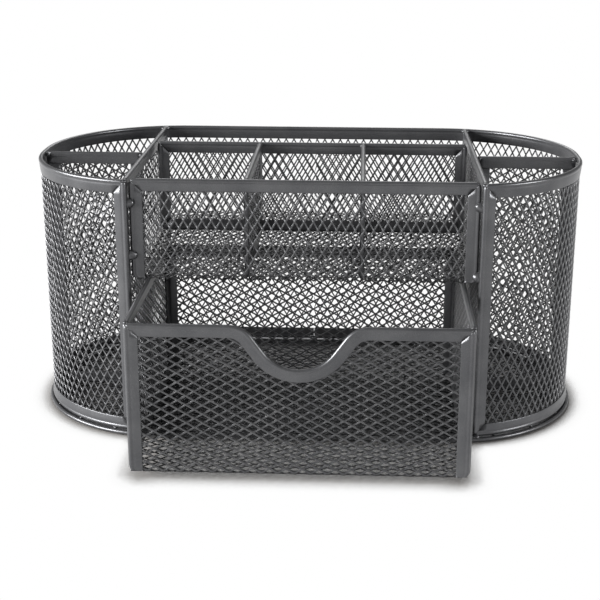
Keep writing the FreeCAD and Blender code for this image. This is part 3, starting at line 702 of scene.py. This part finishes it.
base = {
    "ledge": 1.1,  # how far the base reaches past the wall
    "outlineStep": 2.0,  # spacing of points round the sheet
    "pathStep": 10,  # and across it
}


def roundedPlan(inset, step):
    # points round the base's corners, counterclockwise
    r = endRadius + base["ledge"] - inset
    cx, cy = halfWidth - endRadius, halfDepth - endRadius
    points = []
    count = round(r * math.pi / 2 / step)
    for x, y, first in ((cx, -cy, -0.5), (cx, cy, 0.0), (-cx, cy, 0.5), (-cx, -cy, 1.0)):
        turn = first * math.pi
        points += arcPoints(Vector((x, y, 0)), r, turn, turn + math.pi / 2, (toRight, toBack), count)
        last = turn + math.pi / 2
        points.append(Vector((x + r * math.cos(last), y + r * math.sin(last), 0)))
    return points


def makeBase():
    outline = roundedPlan(sheetHold, base["outlineStep"])
    lowX, lowY = min(p.x for p in outline), min(p.y for p in outline)
    start = Vector((lowX, lowY, thick / 2))
    run = -2 * lowX
    path = spread(start, start + toRight * run, base["pathStep"]) + [start + toRight * run]
    expandedSheet("baseMesh", "basket", "base_mesh", path, toBack,
                  [(p.x - lowX, p.y - lowY) for p in outline], True)
    rim = roundedPlan(0, foldedEdging["step"])
    shape = bmesh.new()
    rings = []
    for i, point in enumerate(rim):
        after, before = rim[(i + 1) % len(rim)], rim[i - 1]
        heading = (after - before).normalized()
        inward, middle = toTop.cross(heading), point + toTop * thick / 2
        section = [middle + inward * depth + toTop * aside for depth, aside in channelShape]
        rings.append([shape.verts.new(spot * mm) for spot in section])
    for near, far in zip(rings, rings[1:] + rings[:1]):
        joinRings(shape, near, far)
    steelPiece("baseEdging", "basket", "base_edging", shape)


makeBase()
print("base made")


# Tray and drawer pan: sheets bent along X

bends = {"radius": 0.75, "steps": 4}


def frontAndBend(x, face, top, floor):
    # down a sheet's front and round the bend to its floor
    r = bends["radius"]
    path = spread(Vector((x, face, top)), Vector((x, face, floor + r)))
    turn = arcPoints(Vector((x, face + r, floor + r)), r, 0, math.pi / 2, (-toBack, -toTop), bends["steps"])
    return path + turn


def makeTray():
    low, high = nodeBox("tray_mesh")
    edgeLow, edgeHigh = nodeBox("tray_front_edging")
    face = (edgeLow.y + edgeHigh.y) / 2
    floor = low.z + halfSheet
    x, rear = low.x, Vector((low.x, high.y, floor))
    path = frontAndBend(x, face, high.z, floor)
    path += spread(Vector((x, face + bends["radius"], floor)), rear) + [rear]
    expandedSheet("trayMesh", "basket", "tray_mesh", path, toRight,
                  rectangle(pathLengths(path)[-1], high.x - low.x), True)
    origin = Vector((edgeLow.x, face, edgeLow.z))
    size = edgeHigh - edgeLow
    edgingPiece("trayFrontEdging", "basket", "tray_front_edging", frameLengths(size.x, size.z, True),
                planeOnto(origin, toRight, toTop))


makeTray()

scoop = {
    "halfWidth": 25.0,
    "depth": 16.5,
    "bottomRadius": 15.0,
    "shoulderRadius": 10.6,
    "bottomSteps": 14,
    "shoulderSteps": 6,
    "leastDrop": 0.01,  # points that lie no lower than this aren't in the sheet's notch
}


def scoopArcs(width, height):
    # the centres of the bottom's and the right shoulder's arcs, and the slope of the line between them
    low = flat(width / 2, height - scoop["depth"] + scoop["bottomRadius"])
    high = flat(width / 2 + scoop["halfWidth"], height - scoop["shoulderRadius"])
    link = high - low
    radii = scoop["bottomRadius"] + scoop["shoulderRadius"]
    return low, high, math.atan2(link.y, link.x) + math.asin(radii / link.length)


def scoopStations(width, height):
    # along the drawer front's top edge, from the left shoulder to the right one
    low, high, rise = scoopArcs(width, height)
    left = flat(width - high.x, high.y)
    r, shoulder = scoop["bottomRadius"], scoop["shoulderRadius"]
    stations = []

    def shoulderArc(centre, first, last):
        steps = scoop["shoulderSteps"]
        for i in range(steps + 1):
            a = first + (last - first) * i / steps
            outward = flat(math.sin(a), math.cos(a))
            stations.append((centre + outward * shoulder, -outward, farAway, -outward, flat(0, 0)))

    shoulderArc(left, 0, rise)
    for i in range(scoop["bottomSteps"] + 1):
        a = -rise + 2 * rise * i / scoop["bottomSteps"]
        inward = flat(math.sin(a), -math.cos(a))
        stations.append((low + inward * r, inward, farAway, inward, flat(0, 0)))
    shoulderArc(high, -rise, 0)
    return stations


def makeDrawerPan():
    low, high = nodeBox("drawer_pan_mesh")
    rimLow, rimHigh = nodeBox("drawer_front_rim")
    sideLow = nodeBox("drawer_front_left_edging")[0]
    backLow, backHigh = nodeBox("drawer_back_edging")
    face, rear = (rimLow.y + rimHigh.y) / 2, (backLow.y + backHigh.y) / 2
    floor = low.z + halfSheet
    r = bends["radius"]
    x = low.x
    path = frontAndBend(x, face, high.z, floor)
    path += spread(Vector((x, face + r, floor)), Vector((x, rear - r, floor)))
    path += arcPoints(Vector((x, rear - r, floor + r)), r, 0, math.pi / 2, (-toTop, toBack), bends["steps"])
    path += spread(Vector((x, rear, floor + r)), Vector((x, rear, high.z))) + [Vector((x, rear, high.z))]
    run, width = pathLengths(path)[-1], high.x - low.x
    rimWidth = rimHigh.x - rimLow.x
    height = rimHigh.z - sideLow.z
    stations = scoopStations(rimWidth, height)
    # the sheet's notch follows the scoop, inside its edging
    notch = []
    for point, inward, limit, beyond, away in stations:
        spot = point + inward * sheetHold
        drop = height - sheetHold - spot.y
        if drop > scoop["leastDrop"]:
            notch.append((drop, spot.x - sheetHold))
    outline = [(0, 0), (run, 0), (run, width), (0, width)] + notch[::-1]
    expandedSheet("drawerPanMesh", "drawer", "drawer_pan_mesh", path, toRight, outline, False)

    origin = Vector((rimLow.x, face, sideLow.z))
    onto = planeOnto(origin, toRight, toTop)
    uAxis, vAxis = flat(1, 0), flat(0, 1)
    past = foldedEdging["pastCorner"]
    rim = roundCorner(flat(0, height), uAxis, -vAxis, 1)
    rim += straightRun(flat(past, height), stations[0][0], -vAxis)[:-1]
    rim += stations
    rim += straightRun(stations[-1][0], flat(rimWidth - past, height), -vAxis)[1:]
    rim += roundCorner(flat(rimWidth, height), -vAxis, -uAxis, 0)
    sides = frameLengths(rimWidth, height, True)[1:]
    edgingPiece("drawerFrontRim", "drawer", "drawer_front_rim", [(rim, True, True)], onto)
    edgingPiece("drawerFrontRightEdging", "drawer", "drawer_front_right_edging", sides[:1], onto)
    edgingPiece("drawerFrontLeftEdging", "drawer", "drawer_front_left_edging", sides[1:], onto)
    size = backHigh - backLow
    edgingPiece("drawerBackEdging", "drawer", "drawer_back_edging", frameLengths(size.x, size.z, True),
                planeOnto(Vector((backLow.x, rear, backLow.z)), toRight, toTop))


makeDrawerPan()
print("tray and drawer made")


# Welds: flattened lumps of run metal under the paint

welds = {
    "unevenness": 0.16,
    "rings": 9,
    "spokes": 14,
    "firstSeed": 1.3,
}
# half sizes across, front to back and up
weldSizes = {
    "bead": (2.7, 1.25, 2.0),
    "corner": (1.25, 1.25, 1.0),
    "rear": (1.9, 1.5, 0.72),
    "tie": (0.8, 0.8, 0.35),
    "seamTie": (1.6, 1.0, 1.1),
    "postTie": (1.5, 0.9, 1.0),
}
# the beads' places: aside from the tray front's ends, forward of their seat and down from the wall's top
beadPlaces = {"aside": 0.4, "forward": 0.35, "leftDrops": (9.3, 29.5), "rightDrops": (9.3, 36.6)}
# at the top ends of a panel: its direction, how far in from its ends, and each end's drop and weld
endWelds = {
    "partition": (toBack, 0.3, ((1.1, "corner"), (0.75, "rear"))),
    "tray_divider": (toBack, 0.2, ((1.1, "corner"), (1.1, "corner"))),
    "cup_divider": (toRight, 0.4, ((1.2, "corner"), (1.2, "corner"))),
}
# under the wall: how far in front of its middle, and how high above the base
footWelds = {"tie": (0.0, wall["lift"] / 2), "seamTie": (0.5, 0.4), "postTie": (0.9, 0.1)}
postTieFromEnd = 1.5


def addLump(shape, middle, half, seed):
    # an ellipsoid with a gentle swell and dip, closed at both ends
    rings, spokes = welds["rings"], welds["spokes"]

    def spot(row, column):
        turn, lean = 2 * math.pi * column / spokes, math.pi * row / rings
        wave = math.sin(3 * turn + seed) * math.sin(2 * lean + 1.7 * seed)
        wave += 0.6 * math.sin(5 * turn - 2 * seed) * math.sin(lean)
        swell = 1 + welds["unevenness"] * wave * math.sin(lean)
        way = Vector((math.sin(lean) * math.cos(turn), math.sin(lean) * math.sin(turn), math.cos(lean)))
        return middle + Vector((way.x * half.x, way.y * half.y, way.z * half.z)) * swell

    ends = [shape.verts.new(spot(row, 0) * mm) for row in (0, rings)]
    loops = []
    for row in range(1, rings):
        loops.append([shape.verts.new(spot(row, column) * mm) for column in range(spokes)])
    for i in range(spokes):
        j = (i + 1) % spokes
        shape.faces.new((ends[0], loops[0][i], loops[0][j]))
        shape.faces.new((ends[1], loops[-1][j], loops[-1][i]))
        for near, far in zip(loops, loops[1:]):
            shape.faces.new((near[i], far[i], far[j], near[j]))


def weldPiece(name, node, lumps):
    # lumps: the middle of each and the name of its size
    shape = bmesh.new()
    for number, (middle, kind) in enumerate(lumps):
        addLump(shape, Vector(middle), Vector(weldSizes[kind]), number + welds["firstSeed"])
    steelPiece(name, "basket", node, shape)


def makeWelds():
    # the beads that hold the tray's front to the posts
    seat = nodeBox("tray_weld_beads")[1].y
    reach = nodeBox("tray_front_edging")[1].x
    lumps = []
    for side, drops in ((-1, beadPlaces["leftDrops"]), (1, beadPlaces["rightDrops"])):
        x, y = side * (reach + beadPlaces["aside"]), seat - beadPlaces["forward"]
        lumps += [((x, y, wallTop - drop), "bead") for drop in drops]
    weldPiece("trayWelds", "tray_weld_beads", lumps)

    # lumps where the top corners of the dividers meet their neighbours
    lumps = []
    for panel, (along, inset, ends) in endWelds.items():
        for side in ("left", "right"):
            low, high = nodeBox(side + "_" + panel + "_edging")
            middle = (low + high) / 2
            reach = (high - low).dot(along) / 2 - inset
            for way, (drop, kind) in zip((-1, 1), ends):
                spot = middle + along * reach * way
                lumps.append(((spot.x, spot.y, high.z - drop), kind))
    weldPiece("dividerWelds", None, lumps)

    # small ties between the wall's foot and the base, and larger ones at the seam behind and at the posts
    ties = [(wallRun * (number + 0.5) / wall["ties"], "tie") for number in range(wall["ties"])]
    ties += [(wallRun / 2, "seamTie"), (postTieFromEnd, "postTie"), (wallRun - postTieFromEnd, "postTie")]
    lumps = []
    for distance, kind in ties:
        spot = wallPlace(distance)[0]
        forward, rise = footWelds[kind]
        lumps.append(((spot.x, spot.y - forward, thick + rise), kind))
    weldPiece("wallFootWelds", None, lumps)


makeWelds()
print("welds made")


# Floor, backdrop and light

studio = {
    "floorHalf": 6000,
    "floorDrop": 0.02,  # keeps the floor off the base's underside
    "floorColour": (0.235, 0.225, 0.215),
    "floorRoughness": 0.8,
    "shadowReach": 10.0,
    "shadowSamples": 8,
    "shadowFrom": 0.67,  # open share of the sky up to which the floor shows its own shade
    "shadowTo": 0.89,  # and from which it is white
    "worldLight": 0.03,  # the world's strength as light
    "worldGloss": 0.30,  # and as gloss shows it
    "lampAway": 1.2,  # metres
    "lampAim": 0.05,  # height in metres that the lamps are turned to
}
# direction round from the front and height above the floor in degrees, side in metres, power in watts
lamps = {
    "keyLight": (-58, 14, 0.4, 23.0),
    "sideLight": (-84, 14, 0.4, 17.0),
    "fillLight": (66, 14, 0.4, 10.0),
    "backLight": (180, 35, 0.6, 3.5),
}


def makeFloor():
    half = studio["floorHalf"]
    corners = [(x * half, y * half, -studio["floorDrop"]) for x, y in ((-1, -1), (1, -1), (1, 1), (-1, 1))]
    floor = plainObject("floor", corners, [], [(0, 1, 2, 3)])
    material = bpy.data.materials.new("paleFloor")
    material.use_nodes = True
    tree = material.node_tree
    shader = tree.nodes["Principled BSDF"]
    shader.inputs["Base Color"].default_value = (*studio["floorColour"], 1)
    shader.inputs["Roughness"].default_value = studio["floorRoughness"]
    glow = tree.nodes.new("ShaderNodeEmission").outputs[0]
    rays = tree.nodes.new("ShaderNodeLightPath").outputs
    # white glow where nothing stands near; under and beside the object ambient occlusion fades the glow, a
    # painted shadow, down to the floor's own colour in the lamps' real light and shadow
    openness = tree.nodes.new("ShaderNodeAmbientOcclusion")
    openness.samples = studio["shadowSamples"]
    openness.inputs["Distance"].default_value = studio["shadowReach"] * mm
    white = addNode(tree, "ShaderNodeMapRange", {
        "Value": openness.outputs["AO"],
        "From Min": studio["shadowFrom"],
        "From Max": studio["shadowTo"]})[0]
    seen = calc(tree, "MAXIMUM", rays["Is Camera Ray"], calc(tree, "MAXIMUM", rays["Is Glossy Ray"],
                                                             rays["Is Transmission Ray"]))
    blend = tree.nodes.new("ShaderNodeMixShader")
    tree.links.new(calc(tree, "MULTIPLY", seen, white), blend.inputs[0])
    tree.links.new(shader.outputs[0], blend.inputs[1])
    tree.links.new(glow, blend.inputs[2])
    tree.links.new(blend.outputs[0], tree.nodes["Material Output"].inputs[0])
    floor.data.materials.append(material)


def makeWorld():
    # white to the camera, dimmer to gloss and dimmer still as light
    world = bpy.data.worlds.new("studioWorld")
    bpy.context.scene.world = world
    world.use_nodes = True
    tree = world.node_tree
    rays = tree.nodes.new("ShaderNodeLightPath").outputs
    mirrored = calc(tree, "MAXIMUM", rays["Is Glossy Ray"], rays["Is Transmission Ray"])
    gloss = calc(tree, "MULTIPLY", mirrored, studio["worldGloss"])
    seen = calc(tree, "MAXIMUM", rays["Is Camera Ray"], gloss)
    strength = calc(tree, "MAXIMUM", seen, studio["worldLight"])
    tree.links.new(strength, tree.nodes["Background"].inputs["Strength"])
    tree.nodes["Background"].inputs["Color"].default_value = (1, 1, 1, 1)


def areaLight(name, turn, rise, side, power):
    turn, rise = math.radians(turn), math.radians(rise)
    way = Vector((math.sin(turn) * math.cos(rise), -math.cos(turn) * math.cos(rise), math.sin(rise)))
    data = bpy.data.lights.new(name, "AREA")
    data.shape = "SQUARE"
    data.size = side
    data.energy = power
    lamp = bpy.data.objects.new(name, data)
    lamp.location = Vector((0, 0, studio["lampAim"])) + way * studio["lampAway"]
    lamp.rotation_euler = (-way).to_track_quat("-Z", "Y").to_euler()
    bpy.context.scene.collection.objects.link(lamp)


makeFloor()
makeWorld()
for name, facts in lamps.items():
    areaLight(name, *facts)
bpy.context.scene.view_settings.view_transform = "Standard"
print("studio set")
